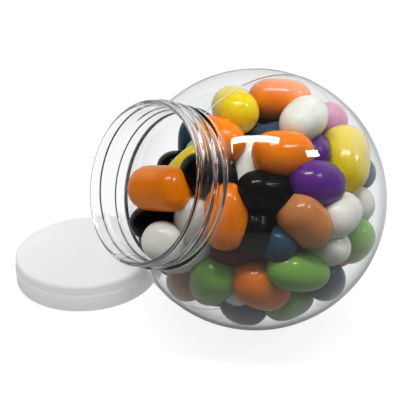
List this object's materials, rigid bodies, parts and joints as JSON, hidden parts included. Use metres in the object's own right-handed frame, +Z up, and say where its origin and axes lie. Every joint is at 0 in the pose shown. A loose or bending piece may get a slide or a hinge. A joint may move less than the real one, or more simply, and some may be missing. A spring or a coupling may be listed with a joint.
{
  "type": "jar of jelly beans",
  "caption": "Clear plastic ball jar with a screw neck, lying on its side and filled with mixed jelly beans that reach into the neck, with its low white screw lid lying beside it.",
  "frame": {"origin": "middle of the small flat spot under the ball, where the jar rests on the floor", "axes": "+Z up; the jar's axis lies in the XZ plane and its mouth points towards -X, 23.6 degrees above level; the lid lies towards +Y"},
  "size_m": [0.1087, 0.1355, 0.0916],
  "materials": {
    "clear_plastic": "clear, polished, with a faint parting line",
    "bean_sugar": "smooth sugar shell, softly glossy, each bean in one of ten colours",
    "white_plastic": "slightly see-through natural white, fine satin"
  },
  "bodies": {
    "root": {"jar": "clear_plastic", "beans": "bean_sugar", "lid": "white_plastic"}
  },
  "joints": []
}
